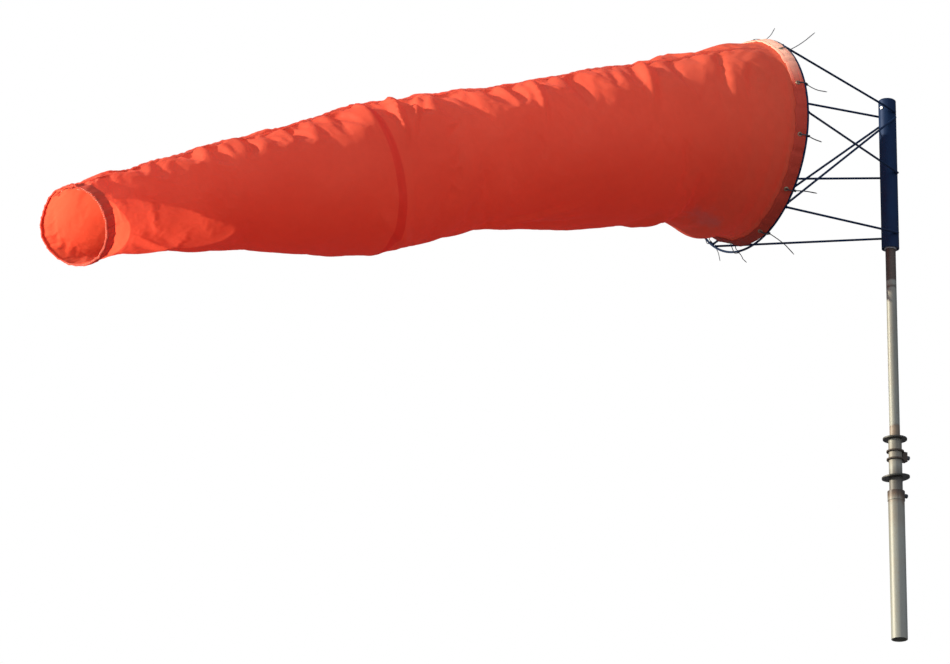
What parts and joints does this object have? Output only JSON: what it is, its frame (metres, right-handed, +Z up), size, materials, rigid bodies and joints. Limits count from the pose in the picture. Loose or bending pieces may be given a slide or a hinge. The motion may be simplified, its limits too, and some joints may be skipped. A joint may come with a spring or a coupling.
{
  "type": "windsock with pole",
  "caption": "Windsock: tapered fabric cone tied to a hoop on a swivelling rod cage, carried at the top of a telescoping guyed steel pole.",
  "frame": {"origin": "centre of the mast's foot, in the plane of its cut end", "axes": "+Z up along the mast, -X the way the cone streams from the mast, -Y the side of the cone nearer the viewer"},
  "size_m": [2.0748, 0.462, 1.2907],
  "materials": {
    "galvanised_steel": "weathered galvanised, dull",
    "rusted_steel": "rust-stained steel",
    "zinc_plate": "zinc plated",
    "navy_paint": "dark navy paint, satin",
    "grey_plastic": "moulded, matt",
    "black_nylon": "moulded nylon",
    "orange_cloth": "coated woven nylon, translucent"
  },
  "bodies": {
    "lower_mast": {"lower_mast_tube": "galvanised_steel", "lower_lock_collar": "rusted_steel", "lower_lock_bolt": "zinc_plate"},
    "mid_mast": {"mid_mast_tube": "galvanised_steel", "mast_clamp": "rusted_steel", "clamp_bolt": "zinc_plate", "clamp_jam_nut": "zinc_plate", "ring_stop_screw": "zinc_plate"},
    "lower_ring": {"lower_guy_ring": "galvanised_steel"},
    "upper_ring": {"upper_guy_ring": "galvanised_steel"},
    "upper_mast": {"upper_mast_tube": "galvanised_steel", "spindle_plug": "zinc_plate", "thrust_ball": "zinc_plate"},
    "swivel_frame": {"pivot_sleeve": "navy_paint", "top_cap": "navy_paint", "cap_screw_1": "zinc_plate", "cap_screw_2": "zinc_plate", "upper_bearing": "zinc_plate", "lower_bushing": "grey_plastic", "hoop": "navy_paint", "upper_arm_near": "navy_paint", "upper_arm_far": "navy_paint", "brace_rod_near": "navy_paint", "brace_rod_far": "navy_paint", "mid_arm_near": "navy_paint", "mid_arm_far": "navy_paint", "lower_arm_near": "navy_paint", "lower_arm_far": "navy_paint", "cable_tie_01": "black_nylon", "cable_tie_02": "black_nylon", "cable_tie_03": "black_nylon", "cable_tie_04": "black_nylon", "cable_tie_05": "black_nylon", "cable_tie_06": "black_nylon", "cable_tie_07": "black_nylon", "cable_tie_08": "black_nylon", "cable_tie_09": "black_nylon", "cable_tie_10": "black_nylon", "cable_tie_11": "black_nylon", "cable_tie_12": "black_nylon", "grommet_01": "zinc_plate", "grommet_02": "zinc_plate", "grommet_03": "zinc_plate", "grommet_04": "zinc_plate", "grommet_05": "zinc_plate", "grommet_06": "zinc_plate", "grommet_07": "zinc_plate", "grommet_08": "zinc_plate", "grommet_09": "zinc_plate", "grommet_10": "zinc_plate", "grommet_11": "zinc_plate", "grommet_12": "zinc_plate", "throat_hem": "orange_cloth", "front_flex": "orange_cloth"},
    "sock_front": {"front_panel": "orange_cloth", "seam_flex": "orange_cloth"},
    "sock_rear": {"rear_panel": "orange_cloth", "tail_panel": "orange_cloth", "tail_end_panel": "orange_cloth", "tail_hem": "orange_cloth"}
  },
  "joints": [
    {"name": "mid_mast_slide", "type": "slide", "parent": "lower_mast", "child": "mid_mast", "axis": [0, 0, 1], "range_m": [-0.022, 0.12]},
    {"name": "upper_mast_slide", "type": "slide", "parent": "mid_mast", "child": "upper_mast", "axis": [0, 0, 1], "range_m": [-0.28, 0.06]},
    {"name": "lower_ring_turn", "type": "hinge", "parent": "mid_mast", "child": "lower_ring", "pos_m": [0, 0, 0.357], "axis": [-0.0785, 0, 0.9969], "continuous": true},
    {"name": "upper_ring_turn", "type": "hinge", "parent": "mid_mast", "child": "upper_ring", "pos_m": [0, 0, 0.4428], "axis": [0, 0, 1], "continuous": true},
    {"name": "wind_swivel", "type": "hinge", "parent": "upper_mast", "child": "swivel_frame", "pos_m": [0, 0, 1.044], "axis": [0, 0, 1], "continuous": true},
    {"name": "sock_droop", "type": "hinge", "parent": "swivel_frame", "child": "sock_front", "pos_m": [-0.362, 0, 1.036], "axis": [0, 1, 0], "range_deg": [-55, 16], "deforming": ["front_flex"]},
    {"name": "tail_bend", "type": "hinge", "parent": "sock_front", "child": "sock_rear", "pos_m": [-1.2428, 0.0407, 0.8218], "axis": [0, 1, 0], "range_deg": [-25, 12], "deforming": ["seam_flex"]}
  ]
}
